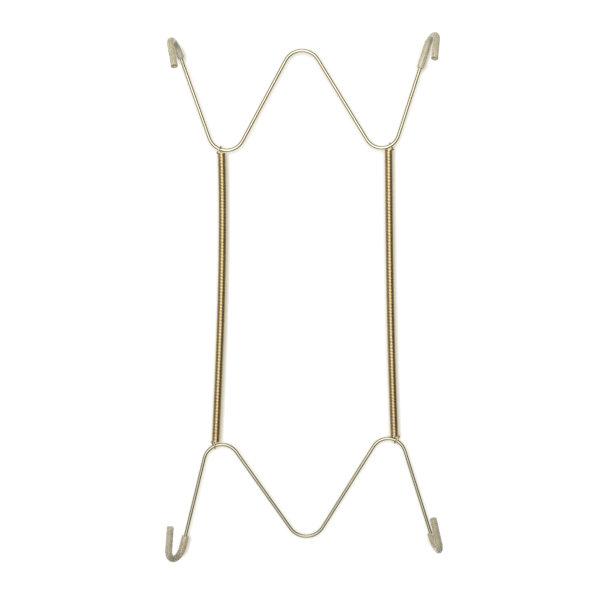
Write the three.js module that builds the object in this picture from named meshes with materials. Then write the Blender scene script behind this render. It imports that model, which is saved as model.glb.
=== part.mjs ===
// Spring wire wall hanger for a display plate.
// Two brass-plated wires are bent to a W. Each one ends in two hooks that curl
// forwards round the plate's rim, and each hook wears a soft vinyl sleeve. Two
// close-wound extension springs pull the wires together: their end hooks ride in
// the wires' side bends.
// Millimetres, +Z up and -Y towards the viewer, as the hanger hangs on a wall.
// The origin is the underside of the upper wire's middle bend, on the nail.
import * as THREE from 'three';

// Bent wires
const wireRadius = 0.95;
const wireSides = 12;
const degreesPerRing = 16;

// Each bend is a circle of the wire's centreline, in the plane of the wall:
// x and z place its centre and r is its radius. seat is where a spring hook
// rests in a side bend, in degrees outwards from the bend's tip.
const upperBends = {
  middle: { x: 0, z: -9.3, r: 10.25 },
  left: { x: -41.55, z: -43.85, r: 10.1, seat: 20.4 },
  right: { x: 43.85, z: -43, r: 9.6, seat: 28.5 },
};
const lowerBends = {
  middle: { x: 2.3, z: -255.5, r: 10.7 },
  left: { x: -44.15, z: -225.65, r: 9.9, seat: 23.4 },
  right: { x: 47.35, z: -222.1, r: 9.65, seat: 26.6 },
};

// Outer legs and hooks. lean is the leg's angle from the vertical, leg its
// straight length, turnOut how far the hook's plane is turned outwards, flare
// how far its tip stands off the leg's direction, tip its straight free end and
// reach how far the sleeve runs back along the leg.
const upperArms = {
  left: { lean: 19.5, leg: 49.8, turnOut: 12.6, flare: 32, tip: 14.6, reach: 3.4 },
  right: { lean: 17.8, leg: 51.1, turnOut: 17.3, flare: 31.7, tip: 12.5, reach: 12 },
};
const lowerArms = {
  left: { lean: 13.6, leg: 50.4, turnOut: 31.4, flare: 16.5, tip: 13.5, reach: 6.6 },
  right: { lean: 17.4, leg: 50.1, turnOut: 9.8, flare: 20.9, tip: 15.4, reach: 2.8 },
};
const hookRadius = 6.5;

// Vinyl sleeves
const sleeveRadius = 1.95;
const sleeveBore = 1.25;
const sleeveOverhang = 1;

// Springs
const springWireRadius = 0.4;
const springWireSides = 8;
const coilRadius = 2.35;
const coilWall = 0.63; // a plain wall that weighs what the wound wire weighs
const coilSides = 16;
const springHookRadius = 1.95;
const springHookSweep = 250;
const neck = 3; // from the hook's centre to the first turn of the coil
const coilInset = 0.7; // the hooks are raised from the coil's outer side
const gap = 0.3;

const brassWire = { color: 0xd8cfa6, metalness: 1, roughness: 0.25 };
const goldSpring = { color: 0xb99a55, metalness: 1, roughness: 0.3 };
const vinyl = { color: 0xb9b294, metalness: 0, roughness: 0.35, transparent: true, opacity: 0.7 };

const radians = THREE.MathUtils.degToRad;
const wallPoint = (x, z) => new THREE.Vector3(x, 0, z);

// Follows a wire as it is bent, and leaves a station at each ring of its mesh.
class Pen {
  constructor(point, heading) {
    this.point = point.clone();
    this.heading = heading.clone().normalize();
    this.stations = [];
    this.mark();
  }

  mark() {
    this.stations.push({ point: this.point.clone(), heading: this.heading.clone() });
  }

  straight(length) {
    this.point.addScaledVector(this.heading, length);
    this.mark();
  }

  // Turns the heading through an angle towards side, a unit vector square to it.
  bend(side, radius, degrees) {
    const start = this.point.clone();
    const heading = this.heading.clone();
    const rings = Math.ceil(degrees / degreesPerRing);
    for (let ring = 1; ring <= rings; ring++) {
      const angle = radians(degrees) * ring / rings;
      this.point.copy(start).addScaledVector(heading, radius * Math.sin(angle));
      this.point.addScaledVector(side, radius * (1 - Math.cos(angle)));
      this.heading.copy(heading).multiplyScalar(Math.cos(angle));
      this.heading.addScaledVector(side, Math.sin(angle)).normalize();
      this.mark();
    }
  }
}

// A path whose mesh rings are exactly a pen's stations.
class StationPath extends THREE.Curve {
  constructor(stations) {
    super();
    this.stations = stations;
  }

  station(u) {
    return this.stations[Math.round(u * (this.stations.length - 1))];
  }

  getPointAt(u, target = new THREE.Vector3()) {
    return target.copy(this.station(u).point);
  }

  getTangentAt(u, target = new THREE.Vector3()) {
    return target.copy(this.station(u).heading);
  }
}

function discShape(radius, bore = 0) {
  const shape = new THREE.Shape().absarc(0, 0, radius, 0, 2 * Math.PI, false);
  if (bore > 0) shape.holes.push(new THREE.Path().absarc(0, 0, bore, 0, 2 * Math.PI, true));
  return shape;
}

function tubeAlong(stations, shape, sides) {
  const steps = stations.length - 1;
  const extrudePath = new StationPath(stations);
  return new THREE.ExtrudeGeometry(shape, { steps, curveSegments: sides / 2, extrudePath });
}

function namedMesh(name, geometry, material) {
  const mesh = new THREE.Mesh(geometry, new THREE.MeshStandardMaterial(material));
  mesh.name = name;
  return mesh;
}

// The inner leg's angle from the vertical: the tangent that crosses between the
// middle bend and a side bend.
function innerLean(middle, corner) {
  const across = Math.abs(corner.x - middle.x);
  const down = Math.abs(corner.z - middle.z);
  const spread = Math.hypot(across, down);
  return {
    lean: Math.atan2(across, down) - Math.asin((middle.r + corner.r) / spread),
    length: Math.sqrt(spread ** 2 - (middle.r + corner.r) ** 2),
  };
}

// The way the hook curls: forwards, turned outwards in the plane of the wall.
function hookSide(side, tipward, arm) {
  const lean = radians(arm.lean);
  const outwards = wallPoint(side * Math.cos(lean), -tipward * Math.sin(lean));
  const turn = radians(arm.turnOut);
  return outwards.multiplyScalar(Math.sin(turn)).add(new THREE.Vector3(0, -Math.cos(turn), 0));
}

// One half of a wire, from the tip of its middle bend out to the hook. side is
// -1 for the left half. tipward is 1 on the upper wire, whose middle bend and
// hooks point up, and -1 on the lower wire.
function bendHalf(side, tipward, middle, corner, arm) {
  const inner = innerLean(middle, corner);
  const pen = new Pen(wallPoint(middle.x, middle.z + tipward * middle.r), wallPoint(side, 0));
  pen.bend(wallPoint(0, -tipward), middle.r, 90 - THREE.MathUtils.radToDeg(inner.lean));
  pen.straight(inner.length);
  const intoCorner = wallPoint(side * Math.cos(inner.lean), tipward * Math.sin(inner.lean));
  pen.bend(intoCorner, corner.r, 180 - THREE.MathUtils.radToDeg(inner.lean) - arm.lean);
  pen.straight(arm.leg);
  const hookStart = { point: pen.point.clone(), heading: pen.heading.clone() };
  pen.bend(hookSide(side, tipward, arm), hookRadius, 180 - arm.flare);
  pen.straight(arm.tip - sleeveOverhang);
  return { stations: pen.stations, hookStart };
}

function sleeve(name, side, tipward, hookStart, arm) {
  const start = hookStart.point.clone().addScaledVector(hookStart.heading, -arm.reach);
  const pen = new Pen(start, hookStart.heading);
  pen.straight(arm.reach);
  pen.bend(hookSide(side, tipward, arm), hookRadius, 180 - arm.flare);
  pen.straight(arm.tip);
  return namedMesh(name, tubeAlong(pen.stations, discShape(sleeveRadius, sleeveBore), wireSides), vinyl);
}

function bentWire(which, tipward, bends, arms) {
  const group = new THREE.Group();
  const left = bendHalf(-1, tipward, bends.middle, bends.left, arms.left);
  const right = bendHalf(1, tipward, bends.middle, bends.right, arms.right);
  const fromLeftTip = left.stations.slice(1).reverse().map(({ point, heading }) => {
    return { point, heading: heading.clone().negate() };
  });
  const wireGeometry = tubeAlong([...fromLeftTip, ...right.stations], discShape(wireRadius), wireSides);
  group.add(namedMesh(`${which}_wire`, wireGeometry, brassWire));
  group.add(sleeve(`${which}_left_sleeve`, -1, tipward, left.hookStart, arms.left));
  group.add(sleeve(`${which}_right_sleeve`, 1, tipward, right.hookStart, arms.right));
  return group;
}

// Centre of the spring hook that rests in a side bend.
function seatPoint(side, tipward, corner) {
  const seat = radians(corner.seat);
  return wallPoint(
    corner.x + side * corner.r * Math.sin(seat),
    corner.z - tipward * corner.r * Math.cos(seat),
  );
}

// An open hook round the X axis. It leaves the coil below the wire, passes the
// wire on the front (facing -1) or the back (facing 1) and ends past its top.
function springHook(name, facing) {
  const start = radians(20);
  const point = new THREE.Vector3(
    0, facing * springHookRadius * Math.sin(start), -springHookRadius * Math.cos(start));
  const pen = new Pen(point, new THREE.Vector3(0, facing * Math.cos(start), Math.sin(start)));
  const centreward = point.clone().normalize().negate();
  pen.bend(centreward, springHookRadius, springHookSweep);
  return namedMesh(name, tubeAlong(pen.stations, discShape(springWireRadius), springWireSides), goldSpring);
}

function coilHalf(name, x, top, bottom) {
  const pen = new Pen(new THREE.Vector3(x, 0, top), new THREE.Vector3(0, 0, -1));
  pen.straight(top - bottom);
  const section = discShape(coilRadius, coilRadius - coilWall);
  return namedMesh(name, tubeAlong(pen.stations, section, coilSides), goldSpring);
}

// One spring between its two seats, drawn hanging straight down from the upper
// seat and then leaned to reach the lower one.
function spring(which, side) {
  const upperSeat = seatPoint(side, 1, upperBends[which]);
  const lowerSeat = seatPoint(side, -1, lowerBends[which]);
  const length = upperSeat.distanceTo(lowerSeat);
  const coilX = -side * coilInset;
  const group = new THREE.Group();
  group.position.copy(upperSeat);
  group.rotation.y = Math.atan2(upperSeat.x - lowerSeat.x, upperSeat.z - lowerSeat.z);
  group.add(springHook(`${which}_spring_upper_hook`, side));
  group.add(coilHalf(`${which}_spring_upper_coil`, coilX, -neck, -length / 2 + gap / 2));
  group.add(coilHalf(`${which}_spring_lower_coil`, coilX, -length / 2 - gap / 2, neck - length));
  const lowerHook = springHook(`${which}_spring_lower_hook`, side);
  lowerHook.position.z = -length;
  lowerHook.rotation.z = Math.PI;
  lowerHook.rotation.y = Math.PI;
  group.add(lowerHook);
  return group;
}

const hanger = new THREE.Group();
hanger.add(bentWire('upper', 1, upperBends, upperArms));
hanger.add(bentWire('lower', -1, lowerBends, lowerArms));
hanger.add(spring('left', -1));
hanger.add(spring('right', 1));

export default hanger;
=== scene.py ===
"""Spring wire hanger for a display plate: the looks.

Two brass-plated wires are bent to a W, with two hooks each. Every hook wears a
clear vinyl sleeve, and two close-wound springs pull the wires together.
Metres, +Z up and -Y towards the viewer, as the hanger hangs on a wall.
"""
import math
import bpy
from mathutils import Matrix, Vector


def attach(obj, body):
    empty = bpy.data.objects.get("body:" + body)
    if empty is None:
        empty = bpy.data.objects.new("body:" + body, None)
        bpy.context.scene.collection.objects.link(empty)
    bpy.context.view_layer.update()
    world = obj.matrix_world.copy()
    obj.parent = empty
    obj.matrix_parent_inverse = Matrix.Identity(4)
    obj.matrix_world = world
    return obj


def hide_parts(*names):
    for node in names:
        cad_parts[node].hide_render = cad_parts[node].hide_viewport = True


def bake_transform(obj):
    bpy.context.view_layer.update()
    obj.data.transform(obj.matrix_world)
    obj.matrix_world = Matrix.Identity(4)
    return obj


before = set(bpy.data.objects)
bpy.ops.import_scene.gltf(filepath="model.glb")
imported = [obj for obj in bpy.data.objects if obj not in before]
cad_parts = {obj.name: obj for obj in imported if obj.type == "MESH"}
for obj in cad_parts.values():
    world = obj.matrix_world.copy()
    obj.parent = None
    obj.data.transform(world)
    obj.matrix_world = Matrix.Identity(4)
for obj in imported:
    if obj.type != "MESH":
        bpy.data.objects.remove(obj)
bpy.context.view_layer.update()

MM = 0.001
X, Y, Z = Vector((1, 0, 0)), Vector((0, 1, 0)), Vector((0, 0, 1))

# ---------------------------------------------------------------- sizes, in mm
# Bent wires. Each bend is a circle of the wire's centreline in the plane of the
# wall: its centre's x and z, and its radius. seat is where a spring hook rests
# in a side bend, in degrees outwards from the bend's tip.
WIRE_RADIUS = 0.95
HOOK_RADIUS = 6.5
UPPER_BENDS = {
    "middle": {"x": 0, "z": -9.3, "r": 10.25},
    "left": {"x": -41.55, "z": -43.85, "r": 10.1, "seat": 20.4},
    "right": {"x": 43.85, "z": -43, "r": 9.6, "seat": 28.5},
}
LOWER_BENDS = {
    "middle": {"x": 2.3, "z": -255.5, "r": 10.7},
    "left": {"x": -44.15, "z": -225.65, "r": 9.9, "seat": 23.4},
    "right": {"x": 47.35, "z": -222.1, "r": 9.65, "seat": 26.6},
}
# Outer legs and hooks: the leg's angle from the vertical and straight length,
# how far the hook's plane is turned outwards, how far its tip stands off the
# leg's direction, its straight free end, and how far the sleeve runs back.
UPPER_ARMS = {
    "left": {"lean": 19.5, "leg": 49.8, "turn_out": 12.6, "flare": 32, "tip": 14.6, "reach": 3.4},
    "right": {"lean": 17.8, "leg": 51.1, "turn_out": 17.3, "flare": 31.7, "tip": 12.5, "reach": 12},
}
LOWER_ARMS = {
    "left": {"lean": 13.6, "leg": 50.4, "turn_out": 31.4, "flare": 16.5, "tip": 13.5, "reach": 6.6},
    "right": {"lean": 17.4, "leg": 50.1, "turn_out": 9.8, "flare": 20.9, "tip": 15.4, "reach": 2.8},
}

# Vinyl sleeves
SLEEVE_RADIUS = 1.95
SLEEVE_BORE = 1.02
SLEEVE_OVERHANG = 1.0

# Sides of each round section, and how the ends are softened. A cut end steps out
# along the wire by so much, at that share of its radius.
WIRE_SIDES = 28
SLEEVE_SIDES = 32
SPRING_WIRE_SIDES = 12
COIL_WIRE_SIDES = 10
CUT_END = ((0.0, 1.0), (0.05, 0.985), (0.11, 0.93), (0.15, 0.84))
LIP_SOFTNESS = 0.22

# Springs. The coil's axis runs from (x, z) top to bottom and bows towards the
# middle; bow_peak below 1 puts the fullest part above half-way. The end loops
# stand out past the seat by outer and cross inwards past it by inner.
SPRING_WIRE_RADIUS = 0.4
MEAN_RADIUS = 1.95
LOOP_RADIUS = 1.9
LOOP_SLACK = 0.38
COIL_PITCH = 0.806
STEPS_PER_TURN = 24
TAIL_TURNS = 5
SWELL_TURNS = 0.5  # the winding swells out to the loop over this many turns
TIP_DRIFT = 0.5  # how far the loop's free tip drifts back outwards
SPRINGS = {
    "left": {
        "side": -1, "top": (-44.28, -55.45), "bottom": (-47.5, -214.3), "bow": 1.6, "bow_peak": 0.8,
        "upper": {"outer": 1.7, "inner": 0.6, "sweep": 300},
        "lower": {"outer": 1.95, "inner": 0.35, "sweep": 325},
    },
    "right": {
        "side": 1, "top": (47.62, -53.5), "bottom": (50.75, -211.6), "bow": -0.7, "bow_peak": 1.1,
        "upper": {"outer": 2.15, "inner": 0.35, "sweep": 212},
        "lower": {"outer": 2.05, "inner": 0.9, "sweep": 325},
    },
}


# ---------------------------------------------------------------- camera, light
def place_camera():
    sensor, distance = 36, 1.0
    view_width = 0.33275  # metres across, at that distance
    data = bpy.data.cameras.new("camera")
    data.sensor_width = sensor
    data.lens = sensor / view_width
    data.clip_start = 0.01
    data.clip_end = 20
    camera = bpy.data.objects.new("camera", data)
    camera.location = (0.000275, -distance, -0.13765)
    camera.rotation_euler = (math.pi / 2, 0, 0)
    bpy.context.scene.collection.objects.link(camera)
    bpy.context.scene.camera = camera


def hex_colour(text):
    """An sRGB hex value as linear RGBA, opaque."""
    def linear(value):
        return value / 12.92 if value <= 0.04045 else ((value + 0.055) / 1.055) ** 2.4
    return tuple(linear(int(text[i:i + 2], 16) / 255) for i in (1, 3, 5)) + (1.0,)


def add_node(tree, kind, settings=None, values=None, links=None):
    """Adds a node, sets its properties and sockets, and joins sockets to its inputs."""
    node = tree.nodes.new(kind)
    for name, value in (settings or {}).items():
        setattr(node, name, value)
    for name, value in (values or {}).items():
        node.inputs[name].default_value = value
    for name, socket in (links or {}).items():
        tree.links.new(socket, node.inputs[name])
    return node


def shape_ramp(node, stops):
    """Gives a colour ramp its stops: position and grey level or sRGB hex."""
    elements = node.color_ramp.elements
    while len(elements) > 1:
        elements.remove(elements[-1])
    for index, (position, tone) in enumerate(stops):
        element = elements[0] if index == 0 else elements.new(position)
        element.position = position
        element.color = hex_colour(tone) if isinstance(tone, str) else (tone, tone, tone, 1)
    return node


def light_room():
    """A white studio. A tall bright band faces the hanger from just left of the camera, with dark
    flags on both sides of it for the metal to hold, the right one deeper."""
    world = bpy.data.worlds.new("white_studio")
    bpy.context.scene.world = world
    world.use_nodes = True
    tree = world.node_tree
    tree.nodes.clear()
    direction = add_node(tree, "ShaderNodeTexCoord").outputs["Generated"]
    part = add_node(tree, "ShaderNodeSeparateXYZ", None, None, {"Vector": direction}).outputs
    front = add_node(tree, "ShaderNodeMath", {"operation": "MULTIPLY"}, {1: -1.0},
                     {0: part["Y"]}).outputs[0]
    bearing = add_node(tree, "ShaderNodeMath", {"operation": "ARCTAN2"}, None,
                       {0: part["X"], 1: front}).outputs[0]
    round_room = add_node(tree, "ShaderNodeMapRange", None, {"From Min": -math.pi, "From Max": math.pi},
                          {"Value": bearing}).outputs["Result"]
    # Bearings in degrees, from straight ahead of the hanger, left negative
    walls = [(-180, 0.55), (-150, 0.48), (-112, 0.26), (-84, 0.16), (-42, 0.12), (-23, 1.0),
             (15, 1.0), (34, 0.07), (75, 0.055), (112, 0.15), (150, 0.45), (180, 0.55)]
    panorama = shape_ramp(add_node(tree, "ShaderNodeValToRGB", None, None, {"Fac": round_room}),
                          [((degrees + 180) / 360, level) for degrees, level in walls])
    height = add_node(tree, "ShaderNodeMath", {"operation": "ABSOLUTE"}, None, {0: part["Z"]}).outputs[0]
    rim = shape_ramp(add_node(tree, "ShaderNodeValToRGB", None, None, {"Fac": height}),
                     [(0.30, 1.0), (0.55, 0.62), (0.86, 0.55), (0.92, 0.30), (0.97, 0.30), (1.0, 0.6)])
    level = add_node(tree, "ShaderNodeMix", {"data_type": "RGBA", "blend_type": "MULTIPLY"}, {0: 1.0},
                     {6: panorama.outputs["Color"], 7: rim.outputs["Color"]}).outputs[2]
    # The backdrop that the camera sees, just white once the strength has multiplied it
    backdrop, strength = 0.475, 2.2
    seen = add_node(tree, "ShaderNodeLightPath").outputs["Is Camera Ray"]
    colour = add_node(tree, "ShaderNodeMix", {"data_type": "RGBA"}, {7: (backdrop, backdrop, backdrop, 1)},
                      {0: seen, 6: level}).outputs[2]
    glow = add_node(tree, "ShaderNodeBackground", None, {"Strength": strength}, {"Color": colour})
    add_node(tree, "ShaderNodeOutputWorld", None, None, {"Surface": glow.outputs[0]})
    bpy.context.scene.view_settings.view_transform = "Standard"

    data = bpy.data.lights.new("high_softbox", "AREA")
    data.shape = "RECTANGLE"
    data.size, data.size_y = 0.5, 0.7
    data.energy = 8.0
    data.color = hex_colour("#fffaf0")[:3]
    lamp = bpy.data.objects.new("high_softbox", data)
    lamp.location = (-0.35, -1.05, 0.65)
    lamp.visible_glossy = False  # it lights the sleeves and stays out of the metal
    lamp.rotation_euler = (Vector((0, 0, -0.14)) - lamp.location).to_track_quat("-Z", "Y").to_euler()
    bpy.context.scene.collection.objects.link(lamp)


def build_stage():
    """A clear wall with the hanger's soft contact shadow painted into its tint from ambient occlusion, a
    pale floor far below, and a grey net low in front that takes the shine off the lower wire."""
    wall_material = bpy.data.materials.new("clear_wall_painted_shadow")
    wall_material.use_nodes = True
    tree = wall_material.node_tree
    tree.nodes.clear()
    # painted shadow: occlusion within 3 mm of the hanger, leaned up and to the left, darkens the clear
    # wall's tint; seen from behind the wall stays clear
    lean = add_node(tree, "ShaderNodeCombineXYZ", None, {"X": -0.42, "Y": -0.80, "Z": 0.42}).outputs[0]
    shadow_reach = 0.0030
    close = add_node(tree, "ShaderNodeAmbientOcclusion", {"samples": 12}, {"Distance": shadow_reach},
                     {"Normal": lean})
    shade = shape_ramp(add_node(tree, "ShaderNodeValToRGB", None, None, {"Fac": close.outputs["AO"]}),
                       [(0.0, "#8a8474"), (0.5, "#c6c1b2"), (0.80, "#eeebe3"), (0.95, "#ffffff")])
    back = add_node(tree, "ShaderNodeNewGeometry").outputs["Backfacing"]
    tint = add_node(tree, "ShaderNodeMix", {"data_type": "RGBA"}, {7: (1, 1, 1, 1)},
                    {0: back, 6: shade.outputs["Color"]})
    clear = add_node(tree, "ShaderNodeBsdfTransparent", None, None, {"Color": tint.outputs[2]})
    add_node(tree, "ShaderNodeOutputMaterial", None, None, {"Surface": clear.outputs[0]})

    floor_material = bpy.data.materials.new("lit_white_floor")
    floor_material.use_nodes = True
    tree = floor_material.node_tree
    tree.nodes.clear()
    lit = add_node(tree, "ShaderNodeEmission", None, {"Color": hex_colour("#ffffff"), "Strength": 1.05})
    add_node(tree, "ShaderNodeOutputMaterial", None, None, {"Surface": lit.outputs[0]})

    def sheet(name, corners, material):
        mesh = bpy.data.meshes.new(name)
        mesh.from_pydata(corners, [], [(0, 1, 2, 3)])
        mesh.materials.append(material)
        obj = bpy.data.objects.new(name, mesh)
        bpy.context.scene.collection.objects.link(obj)
        return obj

    def upright(y, low, high):
        """The corners of a sheet a metre wide that stands parallel to the hanger."""
        return [(-0.5, y, low), (0.5, y, low), (0.5, y, high), (-0.5, y, high)]

    wall = sheet("wall", upright(0.0026, -0.6, 0.3), wall_material)
    wall.visible_shadow = False
    floor_z = -0.62
    floor = sheet("floor", [(-6, -6, floor_z), (6, -6, floor_z), (6, 6, floor_z), (-6, 6, floor_z)],
                  floor_material)
    for ray in ("glossy", "diffuse", "transmission", "shadow"):
        setattr(floor, "visible_" + ray, False)

    net_material = bpy.data.materials.new("grey_lighting_net")
    net_material.use_nodes = True
    tree = net_material.node_tree
    tree.nodes.clear()
    dim = add_node(tree, "ShaderNodeBsdfTransparent", None, {"Color": (0.56, 0.56, 0.56, 1)})
    add_node(tree, "ShaderNodeOutputMaterial", None, None, {"Surface": dim.outputs[0]})
    net = sheet("low_net", upright(-0.11, -0.6, -0.217), net_material)
    for ray in ("camera", "diffuse", "transmission"):
        setattr(net, "visible_" + ray, False)


# ---------------------------------------------------------------- bending wire
class Pen:
    """Follows a wire as it is bent, and leaves a station at each ring of its mesh."""

    def __init__(self, point, heading):
        self.point = Vector(point)
        self.heading = Vector(heading).normalized()
        self.stations = [(self.point.copy(), self.heading.copy())]

    def straight(self, length, pieces=1):
        start = self.point.copy()
        for piece in range(1, pieces + 1):
            self.point = start + self.heading * (length * piece / pieces)
            self.stations.append((self.point.copy(), self.heading.copy()))

    def bend(self, side, radius, degrees, step=3.0):
        start, heading = self.point.copy(), self.heading.copy()
        rings = math.ceil(degrees / step)
        for ring in range(1, rings + 1):
            angle = math.radians(degrees) * ring / rings
            ahead = heading * (radius * math.sin(angle))
            self.point = start + ahead + side * (radius * (1 - math.cos(angle)))
            self.heading = (heading * math.cos(angle) + side * math.sin(angle)).normalized()
            self.stations.append((self.point.copy(), self.heading.copy()))


def inner_lean(middle, corner):
    """The inner leg's angle from the vertical and length: the tangent that crosses between two bends."""
    across, down = abs(corner["x"] - middle["x"]), abs(corner["z"] - middle["z"])
    spread = math.hypot(across, down)
    reach = middle["r"] + corner["r"]
    return math.atan2(across, down) - math.asin(reach / spread), math.sqrt(spread ** 2 - reach ** 2)


def hook_side(side, tipward, arm):
    """The way the hook curls: forwards, turned outwards in the plane of the wall."""
    lean, turn = math.radians(arm["lean"]), math.radians(arm["turn_out"])
    outwards = Vector((side * math.cos(lean), 0, -tipward * math.sin(lean)))
    return outwards * math.sin(turn) - Y * math.cos(turn)


def bend_half(side, tipward, middle, corner, arm):
    """One half of a wire, from the tip of its middle bend out to the hook's end."""
    lean, length = inner_lean(middle, corner)
    pen = Pen((middle["x"], 0, middle["z"] + tipward * middle["r"]), (side, 0, 0))
    pen.bend(Z * -tipward, middle["r"], 90 - math.degrees(lean))
    pen.straight(length, 12)
    into_corner = Vector((side * math.cos(lean), 0, tipward * math.sin(lean)))
    pen.bend(into_corner, corner["r"], 180 - math.degrees(lean) - arm["lean"])
    pen.straight(arm["leg"], 16)
    hook_start = (pen.point.copy(), pen.heading.copy())
    pen.bend(hook_side(side, tipward, arm), HOOK_RADIUS, 180 - arm["flare"])
    pen.straight(arm["tip"] - SLEEVE_OVERHANG, 4)
    return pen.stations, hook_start


def carried_frames(stations):
    """Turns a cross-section's axes along a path without any twist of their own."""
    heading = stations[0][1]
    across = heading.cross(Y)
    if across.length < 0.1:
        across = heading.cross(X)
    across.normalize()
    frames = []
    for point, now in stations:
        turn = heading.rotation_difference(now)
        across = turn @ across
        across = (across - now * across.dot(now)).normalized()
        heading = now
        frames.append((point, now, across, now.cross(across)))
    return frames


def ring_skin(name, rings, sides, closed):
    """Skins rings of (centre, across, up, radius, metres along). Open skins get end caps. Its UV map
    runs round the wire in turns and along it in metres."""
    points, faces, uvs = [], [], []
    for centre, across, up, radius, _ in rings:
        for i in range(sides):
            angle = 2 * math.pi * i / sides
            sideways = across * (radius * math.cos(angle))
            upwards = up * (radius * math.sin(angle))
            points.append((centre + sideways + upwards) * MM)
    count = len(rings)
    for r in range(count if closed else count - 1):
        n = (r + 1) % count
        along, next_along = rings[r][4], rings[n][4]
        for i in range(sides):
            j = (i + 1) % sides
            faces.append((r * sides + i, r * sides + j, n * sides + j, n * sides + i))
            uvs += [(i / sides, along), ((i + 1) / sides, along),
                    ((i + 1) / sides, next_along), (i / sides, next_along)]
    if not closed:
        for r, order in ((0, -1), (count - 1, 1)):
            loop = [r * sides + i for i in range(sides)][::order]
            faces.append(tuple(loop))
            uvs += [(0.5, rings[r][4])] * sides
    mesh = bpy.data.meshes.new(name)
    mesh.from_pydata(points, [], faces)
    layer = mesh.uv_layers.new(name="UVMap")
    for loop, uv in zip(layer.data, uvs):
        loop.uv = uv
    mesh.shade_smooth()
    mesh.validate()
    obj = bpy.data.objects.new(name, mesh)
    bpy.context.scene.collection.objects.link(obj)
    return obj


def sheared_end(frames, end, radius):
    """Rings that round off a wire's cut end, walking outwards from it."""
    point, heading, across, up = frames[end]
    outward = heading if end == -1 else -heading
    for out, share in CUT_END:
        yield point + outward * out, across, up, radius * share


def measured(rings):
    """Adds to each ring how many metres along the path it is."""
    along, last, result = 0.0, None, []
    for centre, across, up, size in rings:
        if last is not None:
            along += (centre - last).length
        result.append((centre, across, up, size, along * MM))
        last = centre
    return result


def wire_rings(stations, radius):
    frames = carried_frames(stations)
    body = [(p, a, u, radius) for p, _, a, u in frames[1:-1]]
    head = list(sheared_end(frames, 0, radius))[::-1]
    tail = list(sheared_end(frames, -1, radius))
    return measured(head + body + tail)


def bent_wire(name, tipward, bends, arms):
    left, _ = bend_half(-1, tipward, bends["middle"], bends["left"], arms["left"])
    right, _ = bend_half(1, tipward, bends["middle"], bends["right"], arms["right"])
    from_left_tip = [(point, -heading) for point, heading in reversed(left[1:])]
    return ring_skin(name, wire_rings(from_left_tip + right, WIRE_RADIUS), WIRE_SIDES, closed=False)


def sleeve(name, side, tipward, bends, arms, which):
    """A length of clear tube: out along its skin, over a soft lip, back down its bore."""
    arm = arms[which]
    _, (point, heading) = bend_half(side, tipward, bends["middle"], bends[which], arm)
    pen = Pen(point - heading * arm["reach"], heading)
    pen.straight(arm["reach"], max(2, round(arm["reach"])))
    pen.bend(hook_side(side, tipward, arm), HOOK_RADIUS, 180 - arm["flare"], step=4.0)
    pen.straight(arm["tip"], 8)
    frames = carried_frames(pen.stations)
    wall = (SLEEVE_RADIUS - SLEEVE_BORE) / 2
    middle = (SLEEVE_RADIUS + SLEEVE_BORE) / 2

    def lip(end):
        point, heading, across, up = frames[end]
        outward = heading if end == -1 else -heading
        for degrees in range(0, 181, 20):
            angle = math.radians(degrees)
            out = LIP_SOFTNESS * math.sin(angle)
            share = math.cos(angle)
            thickness = wall * math.copysign(abs(share) ** 0.5, share)
            yield point + outward * (out - LIP_SOFTNESS), across, up, middle + thickness

    order = [(p, a, u, SLEEVE_RADIUS) for p, _, a, u in frames[1:-1]]
    order += list(lip(-1))
    order += [(p, a, u, SLEEVE_BORE) for p, _, a, u in frames[1:-1][::-1]]
    order += list(lip(0))[::-1]
    return ring_skin(name, measured(order), SLEEVE_SIDES, closed=True)


# ---------------------------------------------------------------- springs
def seat_point(side, tipward, corner):
    seat = math.radians(corner["seat"])
    return Vector((corner["x"] + side * corner["r"] * math.sin(seat), 0,
                   corner["z"] - tipward * corner["r"] * math.cos(seat)))


def coil_axis(spring, share):
    """A point on the bowed axis, share of the way from the top turn to the bottom one."""
    (top_x, top_z), (bottom_x, bottom_z) = spring["top"], spring["bottom"]
    bow = spring["bow"] * math.sin(math.pi * min(max(share, 0), 1) ** spring["bow_peak"])
    return Vector((top_x + (bottom_x - top_x) * share + bow, 0, top_z + (bottom_z - top_z) * share))


def coil_turns(spring):
    """Whole turns of touching wire between the top and bottom turns."""
    return round((spring["top"][1] - spring["bottom"][1]) / COIL_PITCH)


def on_coil(spring, turn):
    """A point of the winding, turn turns below its top, right-handed. It starts on the outer side."""
    angle = (math.pi if spring["side"] < 0 else 0.0) - 2 * math.pi * turn
    centre = coil_axis(spring, turn / coil_turns(spring))
    return centre + Vector((math.cos(angle), math.sin(angle), 0)) * MEAN_RADIUS


def smooth(t):
    t = min(max(t, 0.0), 1.0)
    return t * t * (3 - 2 * t)


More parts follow.
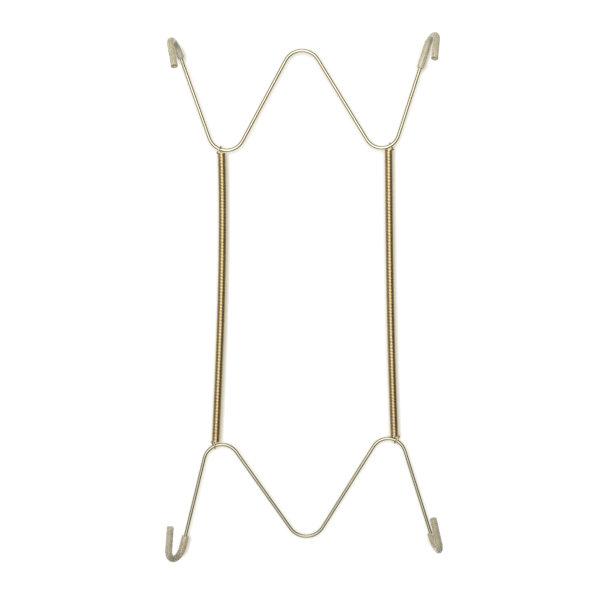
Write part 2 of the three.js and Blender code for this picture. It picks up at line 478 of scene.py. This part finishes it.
def loop_path(spring, which, tail_turns):
    """The end loop's centreline from its free tip to tail_turns down the coil.

    The winding's last half turn swells to the outer side, and runs on round
    the bent wire: below it, past it, over its far side and down again."""
    side = spring["side"]
    upper = which == "upper"
    tipward = 1 if upper else -1
    bends = UPPER_BENDS if upper else LOWER_BENDS
    corner = bends["left" if side < 0 else "right"]
    seat = seat_point(side, tipward, corner)
    shape = spring[which]
    turning = side * tipward
    points = []
    steps = STEPS_PER_TURN * 2
    sweep_steps = math.ceil(shape["sweep"] / 360 * steps)
    for k in range(sweep_steps, -1, -1):
        angle = math.radians(shape["sweep"] * k / sweep_steps)
        cross = smooth(angle / math.pi)
        x = seat.x + side * (shape["outer"] * (1 - cross) - shape["inner"] * cross)
        if angle > math.pi:
            x = seat.x - side * shape["inner"] + side * TIP_DRIFT * smooth((angle - math.pi) / math.pi)
        points.append(Vector((x, turning * LOOP_RADIUS * math.sin(angle),
                              seat.z - tipward * (LOOP_SLACK + LOOP_RADIUS * math.cos(angle)))))
    bulge = points[-1].copy()
    turns = coil_turns(spring)
    anchor = on_coil(spring, 0.0 if upper else turns)
    for k in range(1, round(STEPS_PER_TURN * tail_turns) + 1):
        turn = k / STEPS_PER_TURN
        point = on_coil(spring, turn if upper else turns - turn)
        leave = 1 - smooth(turn / SWELL_TURNS)
        points.append(point + (bulge - anchor) * leave)
    return points


def path_stations(points):
    stations = []
    for i, point in enumerate(points):
        before, after = points[max(i - 1, 0)], points[min(i + 1, len(points) - 1)]
        stations.append((point, (after - before).normalized()))
    return stations


def end_loop(name, spring, which):
    """The loop and the coil's first turns. Its last ring tapers into the next turn, which hides it."""
    stations = path_stations(loop_path(spring, which, TAIL_TURNS))
    rings = wire_rings(stations, SPRING_WIRE_RADIUS)[:-4]
    centre, heading = stations[-1]
    _, across, up, _, along = rings[-1]
    rings.append((centre, across, up, SPRING_WIRE_RADIUS, along + 0.0002))
    rings.append((centre + heading * 0.3, across, up, SPRING_WIRE_RADIUS * 0.6, along + 0.0005))
    return ring_skin(name, rings, SPRING_WIRE_SIDES, closed=False)


def winding_tree():
    """Geometry nodes that wind a wire round a bowed axis, and mark its crests and grooves for the painted
    groove shade.
    """
    tree = bpy.data.node_groups.new("close_wound_coil", "GeometryNodeTree")
    sizes = {
        "Top X": 0.0, "Top Z": 0.0, "Bottom X": 0.0, "Bottom Z": 0.0, "Bow": 0.0, "Bow Peak": 1.0,
        "Start Angle": 0.0, "Turns": 1.0, "First Turn": 0.0, "Last Turn": 1.0,
        "Mean Radius": MEAN_RADIUS * MM, "Wire Radius": SPRING_WIRE_RADIUS * MM,
    }
    tree.interface.new_socket("Geometry", in_out="OUTPUT", socket_type="NodeSocketGeometry")
    for name, value in sizes.items():
        socket = tree.interface.new_socket(name, in_out="INPUT", socket_type="NodeSocketFloat")
        socket.default_value = value
    count = tree.interface.new_socket("Stations", in_out="INPUT", socket_type="NodeSocketInt")
    count.default_value = 100
    tree.interface.new_socket("Finish", in_out="INPUT", socket_type="NodeSocketMaterial")
    inputs = add_node(tree, "NodeGroupInput").outputs

    def sum_of(operation, a, b):
        node = add_node(tree, "ShaderNodeMath", {"operation": operation})
        for index, value in enumerate((a, b)):
            if isinstance(value, (int, float)):
                node.inputs[index].default_value = value
            elif value is not None:
                tree.links.new(value, node.inputs[index])
        return node.outputs[0]

    line = add_node(tree, "GeometryNodeCurvePrimitiveLine", None, {"Start": (0, 0, 0), "End": (0, 0, -1)})
    fine = add_node(tree, "GeometryNodeResampleCurve", None, None,
                    {"Curve": line.outputs[0], "Count": inputs["Stations"]})
    along = add_node(tree, "GeometryNodeSplineParameter").outputs["Factor"]
    span = sum_of("SUBTRACT", inputs["Last Turn"], inputs["First Turn"])
    turn = sum_of("ADD", inputs["First Turn"], sum_of("MULTIPLY", along, span))
    share = sum_of("DIVIDE", turn, inputs["Turns"])
    bow = sum_of("SINE", sum_of("MULTIPLY", sum_of("POWER", share, inputs["Bow Peak"]), math.pi), None)
    slant = sum_of("MULTIPLY", share, sum_of("SUBTRACT", inputs["Bottom X"], inputs["Top X"]))
    axis_x = sum_of("ADD", sum_of("ADD", inputs["Top X"], slant), sum_of("MULTIPLY", bow, inputs["Bow"]))
    fall = sum_of("MULTIPLY", share, sum_of("SUBTRACT", inputs["Bottom Z"], inputs["Top Z"]))
    axis_z = sum_of("ADD", inputs["Top Z"], fall)
    turned = sum_of("MULTIPLY", turn, -2 * math.pi)
    angle = sum_of("ADD", inputs["Start Angle"], turned)
    axis = add_node(tree, "ShaderNodeCombineXYZ", None, None, {"X": axis_x, "Z": axis_z}).outputs[0]
    spoke = add_node(tree, "ShaderNodeCombineXYZ", None, None,
                     {"X": sum_of("COSINE", angle, None), "Y": sum_of("SINE", angle, None)}).outputs[0]
    arm = add_node(tree, "ShaderNodeVectorMath", {"operation": "SCALE"}, None,
                   {0: spoke, "Scale": inputs["Mean Radius"]}).outputs[0]
    place = add_node(tree, "ShaderNodeVectorMath", {"operation": "ADD"}, None, {0: axis, 1: arm}).outputs[0]
    keep_axis = add_node(tree, "GeometryNodeCaptureAttribute", {"domain": "POINT"})
    keep_axis.capture_items.new("VECTOR", "Axis")
    tree.links.new(fine.outputs[0], keep_axis.inputs["Geometry"])
    tree.links.new(axis, keep_axis.inputs["Axis"])
    wound = add_node(tree, "GeometryNodeSetPosition", None, None,
                     {"Geometry": keep_axis.outputs["Geometry"], "Position": place})
    section = add_node(tree, "GeometryNodeCurvePrimitiveCircle", {"mode": "RADIUS"},
                       {"Resolution": COIL_WIRE_SIDES}, {"Radius": inputs["Wire Radius"]})
    skin = add_node(tree, "GeometryNodeCurveToMesh", None, {"Fill Caps": True},
                    {"Curve": wound.outputs[0], "Profile Curve": section.outputs[0]})
    here = add_node(tree, "GeometryNodeInputPosition").outputs[0]
    out = add_node(tree, "ShaderNodeVectorMath", {"operation": "SUBTRACT"}, None,
                   {0: here, 1: keep_axis.outputs["Axis"]}).outputs[0]
    flat = add_node(tree, "ShaderNodeVectorMath", {"operation": "MULTIPLY"}, {1: (1, 1, 0)},
                    {0: out}).outputs[0]
    reach = add_node(tree, "ShaderNodeVectorMath", {"operation": "LENGTH"}, None, {0: flat}).outputs["Value"]
    crest = sum_of("DIVIDE", sum_of("SUBTRACT", reach, inputs["Mean Radius"]), inputs["Wire Radius"])
    marked = add_node(tree, "GeometryNodeStoreNamedAttribute", {"data_type": "FLOAT", "domain": "POINT"},
                      {"Name": "crest"}, {"Geometry": skin.outputs[0], "Value": crest})
    soft = add_node(tree, "GeometryNodeSetShadeSmooth", None, None, {"Geometry": marked.outputs[0]})
    real = add_node(tree, "GeometryNodeRealizeInstances", None, None, {"Geometry": soft.outputs[0]})
    done = add_node(tree, "GeometryNodeSetMaterial", None, None,
                    {"Geometry": real.outputs[0], "Material": inputs["Finish"]})
    add_node(tree, "NodeGroupOutput", None, None, {0: done.outputs[0]})
    return tree


def wound_coil(name, tree, spring, finish):
    """Winds the coil between its two ends' first turns and returns it as a plain mesh."""
    turns = coil_turns(spring)
    mesh = bpy.data.meshes.new(name + "_source")
    source = bpy.data.objects.new(name + "_source", mesh)
    bpy.context.scene.collection.objects.link(source)
    modifier = source.modifiers.new("winding", "NODES")
    modifier.node_group = tree
    start = math.pi if spring["side"] < 0 else 0.0
    values = {
        "Top X": spring["top"][0] * MM, "Top Z": spring["top"][1] * MM,
        "Bottom X": spring["bottom"][0] * MM, "Bottom Z": spring["bottom"][1] * MM,
        "Bow": spring["bow"] * MM, "Bow Peak": float(spring["bow_peak"]), "Start Angle": start,
        "Turns": float(turns), "First Turn": float(TAIL_TURNS), "Last Turn": float(turns - TAIL_TURNS),
        "Mean Radius": MEAN_RADIUS * MM, "Wire Radius": SPRING_WIRE_RADIUS * MM,
        "Stations": (turns - 2 * TAIL_TURNS) * STEPS_PER_TURN + 1, "Finish": finish,
    }
    for item in tree.interface.items_tree:
        if item.item_type == "SOCKET" and item.in_out == "INPUT":
            modifier[item.identifier] = values[item.name]
    evaluated = source.evaluated_get(bpy.context.evaluated_depsgraph_get())
    plain = bpy.data.meshes.new_from_object(evaluated)
    plain.name = name
    obj = bpy.data.objects.new(name, plain)
    bpy.context.scene.collection.objects.link(obj)
    bpy.data.objects.remove(source)
    return obj


# ---------------------------------------------------------------- finishes
def new_finish(name):
    material = bpy.data.materials.new(name)
    material.use_nodes = True
    tree = material.node_tree
    tree.nodes.clear()
    return material, tree


def brass_plated_wire():
    """Brass plating on drawn steel wire. The plating is thin and bright, pale as champagne. Drawing
    leaves fine lines along the wire, and bending rolls leave it a little duller in patches."""
    material, tree = new_finish("brass_plated_drawn_wire")
    shared = add_node(tree, "ShaderNodeUVMap", {"uv_map": "UVMap"}).outputs[0]
    # 0.08 mm draw lines: 75 to the wire's turn, each some 12 mm long
    lines_at = add_node(tree, "ShaderNodeMapping", None, {"Scale": (75, 80, 1)}, {"Vector": shared})
    lines = add_node(tree, "ShaderNodeTexNoise", {"noise_dimensions": "2D"},
                     {"Scale": 1.0, "Detail": 2.0, "Roughness": 0.6}, {"Vector": lines_at.outputs[0]})
    place = add_node(tree, "ShaderNodeTexCoord").outputs["Object"]
    patches = add_node(tree, "ShaderNodeTexNoise", None, {"Scale": 90.0, "Detail": 3.0}, {"Vector": place})
    tone = shape_ramp(add_node(tree, "ShaderNodeValToRGB", None, None, {"Fac": patches.outputs["Fac"]}),
                      [(0.3, "#c9c1a2"), (0.5, "#cec6a9"), (0.72, "#d4cdb2")])
    polish = add_node(tree, "ShaderNodeMapRange", None, {"To Min": 0.12, "To Max": 0.22},
                      {"Value": lines.outputs["Fac"]})
    ridges = add_node(tree, "ShaderNodeBump", None, {"Strength": 0.12, "Distance": 0.00002},
                      {"Height": lines.outputs["Fac"]})
    metal = add_node(tree, "ShaderNodeBsdfPrincipled", None, {"Metallic": 1.0},
                     {"Base Color": tone.outputs["Color"], "Roughness": polish.outputs["Result"],
                      "Normal": ridges.outputs[0]})
    add_node(tree, "ShaderNodeOutputMaterial", None, None, {"Surface": metal.outputs[0]})
    return material


def gold_spring_wire(paint_groove_shade):
    """Spring wire in a warmer gold plating. On the coil, the surface is darkened to a painted brown shade
    where it lies deeper in the grooves between the turns, while the outermost crests keep the plain tone, so
    the coil looks deeper than the bent wires."""
    material, tree = new_finish("gold_plated_spring_wire" if paint_groove_shade else "gold_plated_loop_wire")
    place = add_node(tree, "ShaderNodeTexCoord").outputs["Object"]
    patches = add_node(tree, "ShaderNodeTexNoise", None, {"Scale": 120.0, "Detail": 2.0}, {"Vector": place})
    tone = shape_ramp(add_node(tree, "ShaderNodeValToRGB", None, None, {"Fac": patches.outputs["Fac"]}),
                      [(0.3, "#ecd59f"), (0.7, "#f1dcab")])
    colour = tone.outputs["Color"]
    rough = add_node(tree, "ShaderNodeMapRange", None, {"To Min": 0.22, "To Max": 0.30},
                     {"Value": patches.outputs["Fac"]})
    if paint_groove_shade:
        # painted shade: the grooves between the turns are multiplied towards brown, and the crests are left
        # at full tone
        crest = add_node(tree, "ShaderNodeAttribute", {"attribute_name": "crest"}).outputs["Fac"]
        groove_shade = shape_ramp(add_node(tree, "ShaderNodeValToRGB", None, None, {"Fac": crest}),
                          [(0.1, "#a08048"), (0.75, "#ffffff")])
        colour = add_node(tree, "ShaderNodeMix", {"data_type": "RGBA", "blend_type": "MULTIPLY"}, {0: 1.0},
                          {6: colour, 7: groove_shade.outputs["Color"]}).outputs[2]
    metal = add_node(tree, "ShaderNodeBsdfPrincipled", None, {"Metallic": 1.0},
                     {"Base Color": colour, "Roughness": rough.outputs["Result"]})
    add_node(tree, "ShaderNodeOutputMaterial", None, None, {"Surface": metal.outputs[0]})
    return material


def clear_vinyl():
    """Extruded soft PVC tube, clear once but yellowed and cloudy. It glows like thin wax, the wire shows
    through as a soft band, and the skin keeps a low gloss from the die."""
    material, tree = new_finish("extruded_soft_vinyl")
    place = add_node(tree, "ShaderNodeTexCoord").outputs["Object"]
    cloud = add_node(tree, "ShaderNodeTexNoise", None, {"Scale": 260.0, "Detail": 1.0}, {"Vector": place})
    tone = shape_ramp(add_node(tree, "ShaderNodeValToRGB", None, None, {"Fac": cloud.outputs["Fac"]}),
                      [(0.40, "#e0d7b8"), (0.60, "#e8e1c8")])
    haze = add_node(tree, "ShaderNodeMapRange", None, {"To Min": 0.20, "To Max": 0.26},
                    {"Value": cloud.outputs["Fac"]})
    skin = add_node(tree, "ShaderNodeBsdfPrincipled", None,
                    {"Metallic": 0.0, "IOR": 1.45, "Transmission Weight": 0.5, "Coat Weight": 0.6,
                     "Coat Roughness": 0.15},
                    {"Base Color": tone.outputs["Color"], "Roughness": haze.outputs["Result"]})
    add_node(tree, "ShaderNodeOutputMaterial", None, None, {"Surface": skin.outputs[0]})
    return material


# ---------------------------------------------------------------- the hanger
place_camera()
light_room()
build_stage()

wire_finish = brass_plated_wire()
coil_finish = gold_spring_wire(True)
loop_finish = gold_spring_wire(False)
vinyl_finish = clear_vinyl()

for body, name, tipward, bends, arms in (
        ("upper_frame", "upper", 1, UPPER_BENDS, UPPER_ARMS),
        ("lower_frame", "lower", -1, LOWER_BENDS, LOWER_ARMS)):
    wire = bent_wire(name + "_bent_wire", tipward, bends, arms)
    wire.data.materials.append(wire_finish)
    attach(wire, body)
    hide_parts(name + "_wire")
    for which, side in (("left", -1), ("right", 1)):
        cover = sleeve(name + "_" + which + "_vinyl_sleeve", side, tipward, bends, arms, which)
        cover.data.materials.append(vinyl_finish)
        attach(cover, body)
        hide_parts(name + "_" + which + "_sleeve")

tree = winding_tree()
for which, spring in SPRINGS.items():
    coil = wound_coil(which + "_coil", tree, spring, coil_finish)
    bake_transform(coil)
    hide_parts(which + "_spring_upper_coil", which + "_spring_lower_coil")
    for end in ("upper", "lower"):
        loop = end_loop(which + "_" + end + "_loop", spring, end)
        loop.data.materials.append(loop_finish)
        if end == "upper":
            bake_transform(loop)
        else:
            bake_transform(loop)
        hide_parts(which + "_spring_" + end + "_hook")
